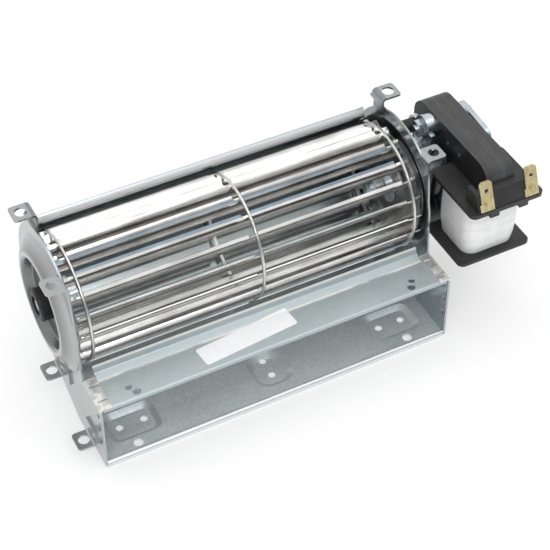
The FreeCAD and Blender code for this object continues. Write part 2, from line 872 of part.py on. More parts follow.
def shade_leg(angle, radius, x0, x1):
    """Square wire along X at a radius and angle about the impeller axis."""
    leg = box(x0, x1, axis_y + radius - shade_wire / 2, axis_y + radius + shade_wire / 2,
              axis_z - shade_wire / 2, axis_z + shade_wire / 2)
    leg.rotate(V(0, axis_y, axis_z), V(1, 0, 0), angle)
    return leg


def shading_rings():
    rings = []
    x0 = stack_left - shade_overhang - shade_wire / 2
    x1 = stack_right + shade_overhang
    for angle in shade_angles:
        legs = [shade_leg(angle, radius, x0, x1 + shade_wire / 2)
                for radius in (shade_inner, shade_outer)]
        for start in (x0, x1):
            bar = box(start, start + shade_wire / 2, axis_y + shade_inner,
                      axis_y + shade_outer, axis_z - shade_wire / 2, axis_z + shade_wire / 2)
            bar.rotate(V(0, axis_y, axis_z), V(1, 0, 0), angle)
            legs.append(bar)
        rings.append(one(legs[0].fuse(legs[1:])))
    return rings


# Coil former with its terminal block, the taped winding and two push-on terminals
def coil_former():
    tube = box(stack_left - former_wall, stack_right + former_wall,
               core_front - former_wall, core_rear + former_wall, coil_bottom, coil_top)
    base = coil_top - top_flange_thick
    top = rounded_block(flange_x0, flange_x1, top_flange_front, flange_rear, base, coil_top,
                        flange_corner)
    bottom = rounded_block(flange_x0, flange_x1, bottom_flange_front, flange_rear,
                           coil_bottom, coil_bottom + bottom_flange_thick, flange_corner)
    lean = math.tan(math.radians(block_lean))
    block_side = [(top_flange_front, base), (block_rear, base), (block_rear, block_top),
                  (top_flange_front + (block_top - base) * lean, block_top)]
    block = polygon_face(block_side, yz).extrude(V(block_x1 - block_x0, 0, 0))
    block.translate(V(block_x0, 0, 0))
    end_wall = box(block_x0, block_x0 + block_end_width, block_rear - block_end_lap,
                   block_end_rear, base, block_top)
    body = tube.fuse([top, bottom, block, end_wall])
    body = body.cut(box(stack_left, stack_right, core_front, core_rear,
                        coil_bottom - 1, coil_top + 1))
    pegs = [box(peg_x, peg_x + peg_width, top_flange_front, top_flange_front + peg_deep,
                base - peg_drop, base + 1) for peg_x in peg_places]
    return one(body.fuse(pegs))


def coil_winding():
    low = coil_bottom + bottom_flange_thick
    high = coil_top - top_flange_thick
    x0 = stack_left - coil_x_margin
    x1 = stack_right + coil_x_margin
    coil = rounded_block(x0, x1, coil_front, coil_rear, low, high, coil_corner)
    hole = box(stack_left - former_wall, stack_right + former_wall,
               core_front - former_wall, core_rear + former_wall, low - 1, high + 1)
    return one(coil.cut(hole))


def terminals():
    blades = []
    high = terminal_low + terminal_length
    y1 = top_flange_front
    y0 = y1 - terminal_sheet
    for middle in terminal_places:
        x0 = middle - terminal_width / 2
        blade = box(x0, x0 + terminal_width, y0, y1, terminal_low, high)
        for corner_x in (x0, x0 + terminal_width):
            cut = box(corner_x - terminal_chamfer, corner_x + terminal_chamfer, y0 - 1, y1 + 1,
                      high - terminal_chamfer, high + terminal_chamfer)
            cut.rotate(V(corner_x, y0, high), V(0, 1, 0), 45)
            blade = blade.cut(cut)
        shoulder = box(x0 - terminal_shoulder, x0 + terminal_width, y0, y1,
                       terminal_low, terminal_low + terminal_shoulder_high)
        hole = Part.makeCylinder(terminal_hole / 2, 4,
                                 V(middle, y0 - 1, high - terminal_hole_drop), V(0, 1, 0))
        tag = box(middle - tag_half, middle + tag_half, y0 - tag_out, y0,
                  terminal_low + tag_low, terminal_low + tag_high)
        blade = one(blade.fuse([shoulder, tag]).cut(hole))
        blade.rotate(V(middle, y1, coil_top - top_flange_thick), V(1, 0, 0), -block_lean)
        blades.append(blade)
    return blades


# Motor brackets: cast bridges with two screw ears and a bearing boss
def bridge(web0, web1, ear0, ear1, boss0, boss1, extra):
    """Web with ears and boss, joined with its extra arms and drilled for the screws."""
    web = box(web0, web1, axis_y - web_half, axis_y + web_half,
              axis_z - screw_z_offset, axis_z + screw_z_offset)
    ears = [rod(ear_radius, ear0, ear1, screw_y, axis_z + sign * screw_z_offset)
            for sign in (-1, 1)]
    body = web.fuse(ears + extra + [rod(boss_radius, boss0, boss1)])
    body = body.cut(rod(sleeve_radius, boss0 - 1, boss1 + 1))
    for sign in (-1, 1):
        body = body.cut(rod(screw_radius + screw_clearance, ear0 - 1, ear1 + 1, screw_y,
                            axis_z + sign * screw_z_offset))
    return body


def bracket_arm(sign):
    """Sloping arm from an ear down to the recess of the right side plate."""
    recess = plate_outside + gutter_rise - gutter_fall
    ear_z = screw_z_offset - arm_ear_drop
    foot_z = screw_z_offset - arm_foot_drop
    side = [(front_web_end, axis_z + sign * ear_z), (recess, axis_z + sign * foot_z),
            (recess, axis_z + sign * (foot_z - arm_thick)),
            (front_web_end, axis_z + sign * (ear_z - arm_thick))]
    arm = polygon_face(side, xz).extrude(V(0, arm_y1 - arm_y0, 0))
    arm.translate(V(0, arm_y0, 0))
    return arm


def front_bracket():
    extra = [bracket_arm(sign) for sign in (-1, 1)]
    for angle in spider_angles:
        end = polar(spider_reach, angle)
        extra.append(rod(spider_radius, front_web, front_web_end, end[0], end[1]))
        spoke = box(front_web, front_web_end, axis_y, axis_y + spider_reach,
                    axis_z - spider_half, axis_z + spider_half)
        spoke.rotate(V(0, axis_y, axis_z), V(1, 0, 0), angle)
        extra.append(spoke)
    for sign in (-1, 1):
        extra.append(rod(post_seat, front_web, front_web_end, post_y, axis_z + sign * post_reach))
    body = bridge(front_web, front_web_end, front_web, stack_left, front_boss_end,
                  front_web_end, extra)
    for sign in (-1, 1):
        body = body.cut(rod(post_neck, front_web - 1, front_web_end + 1, post_y,
                            axis_z + sign * post_reach))
    return one(body)


def rear_bracket():
    link = [(side_ear_y - side_ear_low, side_ear_z - side_ear_low),
            (side_ear_y, side_ear_z + side_ear_radius),
            (screw_y, axis_z + screw_z_offset + ear_radius), (screw_y, axis_z + side_link_low)]
    plate = polygon_face(link, yz).extrude(V(web_thick, 0, 0))
    plate.translate(V(rear_web, 0, 0))
    extra = [rod(side_ear_radius, rear_web, rear_web_end, side_ear_y, side_ear_z), plate]
    return one(bridge(rear_web, rear_web_end, stack_right, rear_web_end, rear_web,
                      rear_boss_end, extra))


def motor_screws():
    screws = []
    for sign in (-1, 1):
        height = axis_z + sign * screw_z_offset
        shank = rod(screw_radius, screw_end, rear_web_end, screw_y, height)
        head = rod(screw_head_radius, rear_web_end, rear_web_end + screw_head_thick,
                   screw_y, height)
        rims = [edge for edge in head.Edges
                if edge.Closed and edge.CenterOfMass.x > rear_web_end + 1]
        head = head.makeFillet(screw_head_round, rims)
        top = rear_web_end + screw_head_thick
        slot = box(top - screw_slot_deep, top + 1, screw_y - 2 * screw_head_radius,
                   screw_y + 2 * screw_head_radius, height - screw_slot / 2,
                   height + screw_slot / 2)
        screws.append(one(shank.fuse(head.cut(slot))))
    return screws


def motor_nuts():
    nuts = []
    for sign in (-1, 1):
        height = axis_z + sign * screw_z_offset
        corner = nut_flats / math.sqrt(3.0)
        corners = []
        for index in range(6):
            turn = math.radians(60.0 * index)
            corners.append((screw_y + corner * math.cos(turn), height + corner * math.sin(turn)))
        nut = polygon_face(corners, yz).extrude(V(nut_thick, 0, 0))
        nut.translate(V(front_web - nut_thick, 0, 0))
        nuts.append(nut.cut(rod(screw_radius, front_web - 5, front_web + 5, screw_y, height)))
    return nuts


def motor_isolators():
    """Rubber posts buttoned through the crest of the right plate and the bracket."""
    posts = []
    crest = plate_outside + gutter_rise
    inner = crest - plate_sheet - post_button_gap
    outer = front_web_end + post_button_thick
    for sign in (-1, 1):
        height = axis_z + sign * post_reach
        post = rod(post_radius, crest, front_web, post_y, height)
        neck = rod(post_neck, inner, outer, post_y, height)
        buttons = [rod(post_button, inner, inner + post_button_thick, post_y, height),
                   rod(post_button, front_web_end, outer, post_y, height)]
        posts.append(one(post.fuse([neck] + buttons)))
    return posts


# Rotor: laminated drum with cast end rings on the motor shaft
def rotor_drum():
    x0 = stack_left - rotor_over
    x1 = stack_right + rotor_over
    return rod(rotor_radius, x0, x1).cut(rod(shaft_radius, x0 - 1, x1 + 1))


def rotor_end_rings():
    rings = []
    for x0 in (stack_left - rotor_over - rotor_ring, stack_right + rotor_over):
        ring = rod(rotor_radius - rotor_ring_step, x0, x0 + rotor_ring)
        rings.append(ring.cut(rod(rotor_ring_bore, x0 - 1, x0 + rotor_ring + 1)))
    return rings


recess_inside = -(plate_outside + gutter_rise - gutter_fall) + plate_sheet
save("scroll_housing", [scroll_housing()])
save("left_side_plate", [left_side_plate()])
save("right_side_plate", [right_side_plate()])
save("rear_lug", [lug(rear_lug_y, rear_lug_under, rear_lug_leg_top, rear_lug_leg_front,
                      rear_lug_y + lug_width / 2)])
save("front_lug", [lug(front_lug_y, front_lug_under, front_lug_leg_top,
                       front_lug_y - lug_width / 2, front_lug_y + lug_width / 2)])
save("tongue_plate", [tongue_plate()])
save("blank_label", [blank_label()])
save("impeller_blades", impeller_blades())
for name, place in ring_places.items():
    save("impeller_ring_" + name, [wire_ring(place)])
save("left_end_disc", [end_disc(left_disc_x, hub_radius)])
save("right_end_disc", [end_disc(right_disc_x, hub_radius)])
save("left_hub", [hub(left_disc_x + disc_sheet, -1)])
save("right_hub", [hub(right_disc_x, 1)])
save("free_shaft", [rod(shaft_radius, -left_shaft_out, -left_shaft_in)])
save("rubber_bush", [left_bush()])
save("free_bearing_sleeve", [sleeve(-left_sleeve_out, recess_inside + bush_lip_inside)])
save("stator_stack", [stator_stack()])
save("coil_core", [coil_core()])
save("stack_rivets", stack_rivets())
save("shading_rings", shading_rings())
save("coil_former", [coil_former()])
save("coil_winding", [coil_winding()])
save("terminals", terminals())
save("front_motor_bracket", [front_bracket()])
save("rear_motor_bracket", [rear_bracket()])
save("front_motor_sleeve", [sleeve(front_boss_end, front_web_end)])
save("rear_motor_sleeve", [sleeve(rear_web, rear_boss_end)])
save("motor_shaft", [rod(shaft_radius, motor_shaft_in, motor_shaft_end)])
save("rotor_drum", [rotor_drum()])
save("rotor_end_rings", rotor_end_rings())
save("motor_screws", motor_screws())
save("motor_nuts", motor_nuts())
save("motor_isolators", motor_isolators())
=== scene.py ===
import math

import bpy
from mathutils import Matrix, Vector


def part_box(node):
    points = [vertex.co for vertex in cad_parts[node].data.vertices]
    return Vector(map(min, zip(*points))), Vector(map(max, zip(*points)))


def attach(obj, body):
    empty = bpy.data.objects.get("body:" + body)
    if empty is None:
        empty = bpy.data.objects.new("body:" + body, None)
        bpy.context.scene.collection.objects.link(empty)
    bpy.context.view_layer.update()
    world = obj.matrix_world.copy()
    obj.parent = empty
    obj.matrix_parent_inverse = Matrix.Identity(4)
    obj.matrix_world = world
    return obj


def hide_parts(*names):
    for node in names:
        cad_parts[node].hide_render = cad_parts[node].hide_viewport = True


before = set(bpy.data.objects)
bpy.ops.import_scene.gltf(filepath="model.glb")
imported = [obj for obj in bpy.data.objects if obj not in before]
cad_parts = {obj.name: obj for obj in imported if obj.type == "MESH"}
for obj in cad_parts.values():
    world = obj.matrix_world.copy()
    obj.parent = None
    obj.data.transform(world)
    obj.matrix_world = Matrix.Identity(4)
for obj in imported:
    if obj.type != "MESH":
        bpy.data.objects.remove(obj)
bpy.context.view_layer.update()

# ---------------------------------------------------------------------------
# Scroll housing. One galvanised sheet, rolled over at the back, bent round the
# impeller and down a ramp to the floor, with three pressed screw pads. Its zinc
# is blue grey and finely mottled, with a painted highlight over painted shade on
# the roll, a painted highlight on the front bend, and pale dull dust inside the
# outlet that is partly painted light.
# ---------------------------------------------------------------------------

housing_pale, housing_deep = (0.50, 0.55, 0.56), (0.38, 0.43, 0.44)
housing_rolled = (0.2, 1, 1)
# Dust colours: pale dull dust, lightened further as painted light for the outlet floor that the
# tongue shades.
dust_lit_pale, dust_lit_deep = (0.84, 0.90, 0.91), (0.66, 0.73, 0.74)
dust_and_light_top, dust_and_light_front = (0.008, 0.020), (-0.0168, -0.0148)
# The roll and bend colours below are painted light: a highlight, shade and a grey brim on the
# roll, a highlight on the front bend.
roll_painted_highlight, roll_painted_shade, roll_brim_painted_grey = (0.92, 0.93, 0.93), (0.11, 0.12, 0.12), (0.50, 0.52, 0.52)
roll_foot, roll_rear = (0.0755, 0.0765), (0.0585, 0.0590)
roll_crown, roll_brim = (0.0790, 0.0810), (0.0826, 0.0832)
bend_painted_highlight, bend_rear = (0.88, 0.90, 0.90), (-0.0166, -0.0152)
sheet_relief = 0.0002


class Wire:
    """One socket of a finish. Sums written on it become Math nodes."""

    def __init__(self, tree, socket=None):
        self.tree = tree
        self.socket = socket

    def node(self, kind, settings, inputs, out=0):
        """Adds a node: its settings first, then its sockets by name, value or link."""
        made = self.tree.nodes.new("ShaderNode" + kind)
        for key, value in settings.items():
            setattr(made, key, value)
        for key, value in inputs.items():
            goal = next(s for s in made.inputs if key in (s.identifier, s.name) and s.enabled)
            if isinstance(value, Wire):
                self.tree.links.new(value.socket, goal)
            else:
                goal.default_value = value
        outlets = [s for s in made.outputs if s.enabled]
        return Wire(self.tree, outlets[out] if isinstance(out, int) else made.outputs[out])

    def maths(self, operation, first, second):
        return self.node("Math", {"operation": operation}, {"Value": first, "Value_001": second})

    def __add__(self, other):
        return self.maths("ADD", self, other)

    def __radd__(self, other):
        return self.maths("ADD", other, self)

    def __sub__(self, other):
        return self.maths("SUBTRACT", self, other)

    def __rsub__(self, other):
        return self.maths("SUBTRACT", other, self)

    def __mul__(self, other):
        return self.maths("MULTIPLY", self, other)

    def __rmul__(self, other):
        return self.maths("MULTIPLY", other, self)

    def __abs__(self):
        return self.node("Math", {"operation": "ABSOLUTE"}, {"Value": self})

    def limited(self, low, high, to_low=0.0, to_high=1.0):
        return self.node("MapRange", {"clamp": True}, {
            "Value": self, "From Min": low, "From Max": high, "To Min": to_low, "To Max": to_high})

    def falling(self, low, high):
        """One below the range and nothing above it."""
        return self.limited(low, high, 1.0, 0.0)

    def mixed(self, first, second):
        """The colour between two colours, with this wire as the factor."""
        first, second = (c if isinstance(c, Wire) else (*c, 1.0) for c in (first, second))
        return self.node("Mix", {"data_type": "RGBA"}, {
            "Factor_Float": self, "A_Color": first, "B_Color": second})


def finish_start(name):
    """A new material, the first wire of its tree, and the part's own coordinates."""
    material = bpy.data.materials.new(name)
    material.use_nodes = True
    start = Wire(material.node_tree)
    place = start.node("TexCoord", {}, {}, out="Object")
    return material, start, place


def finish_end(material, values, bump=None, strength=0.2, depth=sheet_relief):
    """Sets the main shader's sockets from values or wires, with a bump if given."""
    shader = material.node_tree.nodes["Principled BSDF"]
    for key, value in values.items():
        if isinstance(value, Wire):
            material.node_tree.links.new(value.socket, shader.inputs[key])
        else:
            shader.inputs[key].default_value = value
    if bump is not None:
        relief = bump.node("Bump", {}, {"Height": bump, "Strength": strength, "Distance": depth})
        material.node_tree.links.new(relief.socket, shader.inputs["Normal"])
    return material


def part_of(place, letter):
    return place.node("SeparateXYZ", {}, {"Vector": place}, out=letter)


def stretched(place, scale):
    return place.node("Mapping", {"vector_type": "POINT"}, {"Vector": place, "Scale": scale})


def noise(place, scale, detail=4.0, roughness=0.55):
    return place.node("TexNoise", {}, {
        "Vector": place, "Scale": scale, "Detail": detail, "Roughness": roughness}, out="Fac")


def give(material, *nodes):
    """The CAD nodes get this finish."""
    for name in nodes:
        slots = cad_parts[name].data.materials
        slots.clear()
        slots.append(material)


def zinc_skin(place, light, dark, rolled):
    """Colour and two fields of zinc plating: soft clouds, fine grain, a few specks."""
    clouds = noise(place, 22.0, 2.0)
    grain = noise(stretched(place, rolled), 500.0, 2.0, 0.5)
    speck = noise(place, 300.0, 2.0, 0.5).limited(0.68, 0.78)
    colour = (clouds * 0.6 + grain * 0.4).limited(0.3, 0.7).mixed(dark, light)
    colour = (speck * 0.3).mixed(colour, tuple(0.6 * v for v in dark))
    return colour, clouds, grain


def housing_zinc():
    """Painted highlight and shade on the roll, painted highlight on the front bend, dull dust
    partly lightened as painted light inside the outlet.
    """
    material, start, place = finish_start("housing_zinc")
    colour, clouds, grain = zinc_skin(place, housing_pale, housing_deep, housing_rolled)
    low = (part_of(place, "Z") + clouds * 0.01).falling(*dust_and_light_top)
    dust_and_painted_light = low * part_of(place, "Y").limited(*dust_and_light_front)
    dust = noise(place, 900.0, 2.0) * 0.6 + clouds * 0.4
    # Inside the outlet: dull dust, lightened as painted light where the tongue shades the floor.
    colour = (dust_and_painted_light * 0.85).mixed(colour, dust.limited(0.38, 0.62).mixed(dust_lit_deep, dust_lit_pale))
    # The roll: painted shade low down, a painted highlight over its crown, painted grey on its
    # brim.
    roll = part_of(place, "Z").limited(*roll_foot) * part_of(place, "Y").falling(*roll_rear)
    crown = roll * part_of(place, "Z").limited(*roll_crown)
    brim = roll * part_of(place, "Z").limited(*roll_brim)
    colour = roll.mixed(colour, crown.mixed(roll_painted_shade, roll_painted_highlight))
    colour = brim.mixed(colour, roll_brim_painted_grey)
    # The front bend: a painted highlight.
    bend = part_of(place, "Y").falling(*bend_rear)
    colour = (bend * 0.8).mixed(colour, bend_painted_highlight)
    return finish_end(material, {
        "Base Color": colour, "Metallic": 0.94 - dust_and_painted_light * 0.5 - crown * 0.5 - bend * 0.4,
        "Roughness": clouds * 0.1 + dust_and_painted_light * 0.1 + roll * 0.1 + 0.16}, grain, 0.02)


give(housing_zinc(), "scroll_housing")

# ---------------------------------------------------------------------------
# Side plates. Deep drawn from the same sheet, with a turned gutter round the
# impeller, fixing tabs at the rim, and fingers folded over the tongue plate.
# The zinc has flaked on the folded fingers, which show cream and white.
# ---------------------------------------------------------------------------

plate_pale, plate_deep = (0.50, 0.55, 0.57), (0.41, 0.46, 0.48)
flake_cream, flake_bare = (0.88, 0.85, 0.78), (0.56, 0.57, 0.56)
# Painted colours: shade on the inner faces, a brown reflection on the gutter's flank, shade in its
# bowl.
inner_shade, outer_warm = (0.20, 0.225, 0.23), (0.40, 0.395, 0.375)
flank_painted_reflection, bowl_shade = (0.19, 0.175, 0.16), (0.12, 0.125, 0.125)
finger_end, finger_rear = (0.0790, 0.0794), (0.0006, 0.0012)
finger_foot, finger_top = (0.0361, 0.0365), (0.0385, 0.0390)
outer_face, outer_foot = (0.0846, 0.0850), (0.004, 0.012)
inner_face, inner_foot = (0.0842, 0.0846), (0.037, 0.041)
axis_y, axis_z = 0.035, 0.055
flank_near, flank_far = (0.0230, 0.0242), (0.0250, 0.0300)
bowl_face, bowl_rim = (0.0800, 0.0804), (0.0216, 0.0222)


def plate_zinc():
    """Warm on the outer face, a painted brown reflection on the gutter's flank, painted shade on
    the inner faces and in its bowl.
    """
    material, start, place = finish_start("plate_zinc")
    colour, clouds, grain = zinc_skin(place, plate_pale, plate_deep, (1, 1, 1))
    end, height = abs(part_of(place, "X")), part_of(place, "Z")
    finger = end.limited(*finger_end) * height.limited(*finger_foot)
    finger = finger * height.falling(*finger_top) * part_of(place, "Y").falling(*finger_rear)
    outer = end.limited(*outer_face) * height.limited(*outer_foot)
    inner = end.falling(*inner_face) * height.limited(*inner_foot)
    across, above = part_of(place, "Y") - axis_y, height - axis_z
    square = across * across + above * above
    radius = square.node("Math", {"operation": "SQRT"}, {"Value": square})
    flank = outer * radius.limited(*flank_near) * radius.falling(*flank_far)
    bowl = end.limited(*bowl_face) * radius.falling(*bowl_rim)
    # Painted shade on the inner faces and in the bowl, a painted brown reflection on the gutter's
    # flank.
    colour = (inner * 0.75).mixed(colour, inner_shade)
    colour = (outer * 0.5).mixed(colour, outer_warm)
    colour = (flank * 0.65).mixed(colour, flank_painted_reflection)
    colour = (bowl * 0.7).mixed(colour, bowl_shade)
    flake = noise(place, 330.0, 3.0).limited(0.4, 0.58)
    colour = (finger * 0.9).mixed(colour, flake.mixed(flake_bare, flake_cream))
    return finish_end(material, {
        "Base Color": colour, "Metallic": 0.94 - finger * 0.5,
        "Roughness": clouds * 0.14 + grain * 0.06 + finger * 0.1 + 0.14}, grain, 0.02)


give(plate_zinc(), "left_side_plate", "right_side_plate", "rear_lug", "front_lug")

# ---------------------------------------------------------------------------
# Tongue plate over the outlet. A paler hemmed sheet, folded up at the back
# towards the impeller, held by the plates' fingers. A bare paper label on it.
# ---------------------------------------------------------------------------

tongue_pale, tongue_deep = (0.52, 0.58, 0.59), (0.43, 0.49, 0.50)
tongue_rolled = (0.4, 1, 1)
# Cream for the painted highlight on the tongue's fold and upper edge.
tongue_highlight_cream = (0.88, 0.85, 0.78)
fold_place, fold_width = -0.0016, (0.0003, 0.0008)
tongue_edge = (0.0403, 0.0408)
paper_pale, paper_deep = (0.93, 0.93, 0.94), (0.83, 0.84, 0.85)


def tongue_zinc():
    """A painted cream highlight along the fold, broken into blotches, and along the upper edge."""
    material, start, place = finish_start("tongue_zinc")
    colour, clouds, grain = zinc_skin(place, tongue_pale, tongue_deep, tongue_rolled)
    # Painted highlight: a cream line along the fold and the upper edge.
    fold = abs(part_of(place, "Y") - fold_place).falling(*fold_width)
    blotches = (clouds * 0.6 + grain * 0.4).limited(0.36, 0.5)
    edge = part_of(place, "Z").limited(*tongue_edge)
    painted_highlight = (fold * blotches + edge).limited(0.0, 1.0)
    colour = (painted_highlight * 0.85).mixed(colour, tongue_highlight_cream)
    return finish_end(material, {
        "Base Color": colour, "Metallic": 0.6 - painted_highlight * 0.4,
        "Roughness": clouds * 0.16 + grain * 0.08 + 0.32}, grain, 0.04)


give(tongue_zinc(), "tongue_plate")


def label_paper():
    material, start, place = finish_start("label_paper")
    fibre = noise(place, 1400.0)
    blotches = noise(place, 90.0, 3.0)
    colour = (fibre * 0.5 + blotches * 0.5).limited(0.35, 0.65).mixed(paper_deep, paper_pale)
    return finish_end(material, {"Base Color": colour, "Roughness": 0.42}, fibre, 0.05, 0.0001)


give(label_paper(), "blank_label")

# ---------------------------------------------------------------------------
# Impeller. Twenty bent aluminium strips notched round three wire rings and
# clinched into two end discs. Bright rolled aluminium with lines along it; the
# end discs are darkened as painted shade.
# ---------------------------------------------------------------------------

disc_radius = 0.0274
disc_sides = 96
rib_height = 0.0007
rib_steps = ((0.0200, 0), (0.0188, 1), (0.0140, 0), (0.0128, -1))
disc_smooth = math.radians(40)


def aluminium(name, light, dark, rolled, gloss):
    material, start, place = finish_start(name)
    lines = noise(stretched(place, rolled), 600.0, 3.0, 0.6)
    clouds = noise(place, 60.0, 2.0)
    colour = (lines * 0.6 + clouds * 0.4).limited(0.38, 0.62).mixed(dark, light)
    return finish_end(material, {
        "Base Color": colour, "Metallic": 1.0, "Roughness": lines * 0.1 + (gloss - 0.05)},
        lines, 0.06)


blade_metal = aluminium("blade_metal", (0.86, 0.85, 0.83), (0.58, 0.57, 0.55), (0.04, 1, 1), 0.22)
give(blade_metal, "impeller_blades")
ring_metal = aluminium("ring_metal", (0.80, 0.79, 0.76), (0.66, 0.65, 0.62), (1, 1, 1), 0.3)
give(ring_metal, "impeller_ring_left", "impeller_ring_middle", "impeller_ring_right")
# The end discs and rotor end rings are darkened as painted shade, for the shadow they sit in.
disc_metal_shaded = aluminium("disc_metal_shaded", (0.36, 0.36, 0.35), (0.24, 0.24, 0.23), (1, 1, 1), 0.3)
give(disc_metal_shaded, "left_end_disc", "right_end_disc", "rotor_end_rings")


def pressed_disc(node, outward):
    """The end disc ends inside the blade tips and has a pressed rib round its hub."""
    low, high = (Vector(corner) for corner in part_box(node))
    centre = (low + high) / 2
    bpy.ops.object.select_all(action="DESELECT")
    bpy.ops.mesh.primitive_cylinder_add(
        vertices=disc_sides, radius=disc_radius, depth=high.x - low.x,
        location=centre, rotation=(0, math.pi / 2, 0))
    disc = bpy.context.object
    disc.name = node.replace("_end_disc", "_pressed_disc")
    bpy.ops.object.transform_apply(location=True, rotation=True, scale=True)
    for radius, rise in rib_steps:
        bpy.ops.object.mode_set(mode="OBJECT")
        caps = [face for face in disc.data.polygons if abs(face.normal.x) > 0.99
                and (face.center - centre).yz.length < 1e-4]
        for piece in (*disc.data.polygons, *disc.data.edges, *disc.data.vertices):
            piece.select = False
        for face in caps:
            face.select = True
        rim = max((disc.data.vertices[v].co - centre).yz.length for v in caps[0].vertices)
        bpy.ops.object.mode_set(mode="EDIT")
        bpy.ops.mesh.select_mode(type="FACE")
        bpy.ops.mesh.inset(thickness=rim - radius, depth=0)
        if rise:
            bpy.ops.transform.translate(value=(outward * rise * rib_height, 0, 0))
    bpy.ops.object.mode_set(mode="OBJECT")
    bpy.ops.object.shade_smooth_by_angle(angle=disc_smooth)
    bpy.ops.object.origin_set(type="ORIGIN_CURSOR")
    disc.data.materials.append(disc_metal_shaded)
    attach(disc, "impeller")
    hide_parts(node)


pressed_disc("left_end_disc", 1)
pressed_disc("right_end_disc", -1)

# ---------------------------------------------------------------------------
# Shafts, hubs and bearings. Ground steel shafts in oil filled bronze sleeves,
# the left one in a black rubber bush pressed into the plate.
# ---------------------------------------------------------------------------

steel_pale, steel_deep = (0.64, 0.68, 0.71), (0.50, 0.53, 0.56)
bronze_pale, bronze_deep = (0.46, 0.33, 0.19), (0.28, 0.19, 0.10)
rubber_pale, rubber_deep = (0.018, 0.018, 0.019), (0.005, 0.005, 0.006)


def ground_steel():
    material, start, place = finish_start("ground_steel")
    turning = noise(stretched(place, (4, 1, 1)), 300.0, 2.0)
    colour = turning.limited(0.35, 0.65).mixed(steel_deep, steel_pale)
    return finish_end(material, {
        "Base Color": colour, "Metallic": 1.0, "Roughness": turning * 0.14 + 0.18},
        turning, 0.02, 0.0001)


give(ground_steel(), "left_hub", "right_hub", "free_shaft", "motor_shaft", "motor_screws",
     "motor_nuts", "stack_rivets")


def bronze():
    material, start, place = finish_start("bronze")
    pores = noise(place, 1500.0, 3.0, 0.7)
    colour = pores.limited(0.4, 0.6).mixed(bronze_deep, bronze_pale)
    return finish_end(material, {
        "Base Color": colour, "Metallic": 1.0, "Roughness": pores * 0.3 + 0.25}, pores, 0.2)


give(bronze(), "free_bearing_sleeve", "front_motor_sleeve", "rear_motor_sleeve")


def rubber():
    material, start, place = finish_start("black_rubber")
    bloom = noise(place, 240.0)
    colour = bloom.limited(0.35, 0.75).mixed(rubber_deep, rubber_pale)
    return finish_end(material, {
        "Base Color": colour, "Roughness": bloom * 0.25 + 0.38}, noise(place, 1200.0), 0.1)


give(rubber(), "rubber_bush", "motor_isolators")

# ---------------------------------------------------------------------------
# Motor stack. Thin steel laminations riveted face to face and painted satin
# black; the stamped edges show as fine lines round the C.
# ---------------------------------------------------------------------------

face_pale, face_deep = (0.022, 0.023, 0.025), (0.008, 0.008, 0.009)
edge_pale, edge_deep = (0.085, 0.085, 0.087), (0.030, 0.030, 0.031)
face_skin = 0.0001


def lamination():
    """Varnished steel with fine sheet lines; paler all round the C, partly the bare sheet edges
    and partly painted light on its lit top, near black on the two end faces.
    """
    material, start, place = finish_start("lamination_paint")
    low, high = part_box("stator_stack")
    sheets = noise(stretched(place, (1, 0.012, 0.012)), 1300.0, 2.0, 0.6)
    broad = noise(stretched(place, (1, 0.03, 0.03)), 260.0, 1.0)
    wear = noise(place, 120.0)
    paint = noise(place, 800.0, 3.0)
    tone = (sheets * 0.35 + broad * 0.25 + wear * 0.25 + paint * 0.15).limited(0.36, 0.66)
    # Partly painted light: the edges round the C get the paler tone, the two end faces stay near
    # black.
    edges = part_of(place, "X").limited(low[0], low[0] + face_skin)
    edges = edges * part_of(place, "X").falling(high[0] - face_skin, high[0])
    face = tone.mixed(face_deep, face_pale)
    edge = tone.mixed(edge_deep, edge_pale)
    return finish_end(material, {
        "Base Color": edges.mixed(face, edge), "Metallic": 0.0,
        "Roughness": wear * 0.2 + 0.34, "Specular IOR Level": 0.4}, sheets * 0.7 + paint * 0.3)


# The copper shading rings take the black paint too, as painted shade for the dark gap they sit in.
give(lamination(), "stator_stack", "coil_core", "rotor_drum", "shading_rings")

# ---------------------------------------------------------------------------
# Coil. A black moulded former with a terminal block, wound with wire and
# wrapped in white tape. Two stamped brass tabs are pushed into the block.
# ---------------------------------------------------------------------------

former_pale, former_deep = (0.034, 0.033, 0.032), (0.012, 0.0115, 0.0115)
tape_pale, tape_deep = (0.90, 0.89, 0.88), (0.71, 0.70, 0.68)
brass_pale, brass_deep = (0.86, 0.75, 0.45), (0.66, 0.53, 0.26)
tape_corner, tape_corner_steps = 0.0062, 8
tape_rows = 14
tape_waist, tape_curve = 0.075, 2.6
tape_smooth = math.radians(50)


def former_plastic():
    material, start, place = finish_start("former_plastic")
    skin = noise(place, 500.0)
    dust = noise(place, 70.0, 3.0)
    colour = (skin * 0.4 + dust * 0.6).limited(0.35, 0.7).mixed(former_deep, former_pale)
    return finish_end(material, {
        "Base Color": colour, "Roughness": skin * 0.2 + 0.36}, skin, 0.08)


give(former_plastic(), "coil_former")


def tape():
    """Glossy white tape: faint lap lines round the coil and crumpled wrinkles."""
    material, start, place = finish_start("white_tape")
    level = part_of(place, "Z") * 330.0 + noise(place, 38.0, 2.0) * 5.0
    laps = level.maths("PINGPONG", level, 1.0).limited(0.0, 0.12)
    crease = noise(stretched(place, (1, 1, 0.35)), 170.0, 3.0)
    fine = noise(place, 900.0, 3.0)
    colour = (laps * 0.3 + crease * 0.7).limited(0.2, 0.7).mixed(tape_deep, tape_pale)
    return finish_end(material, {
        "Base Color": colour, "Roughness": crease * 0.3 + 0.2},
        laps * 0.35 + crease * 0.55 + fine * 0.1, 0.4, 0.0008)


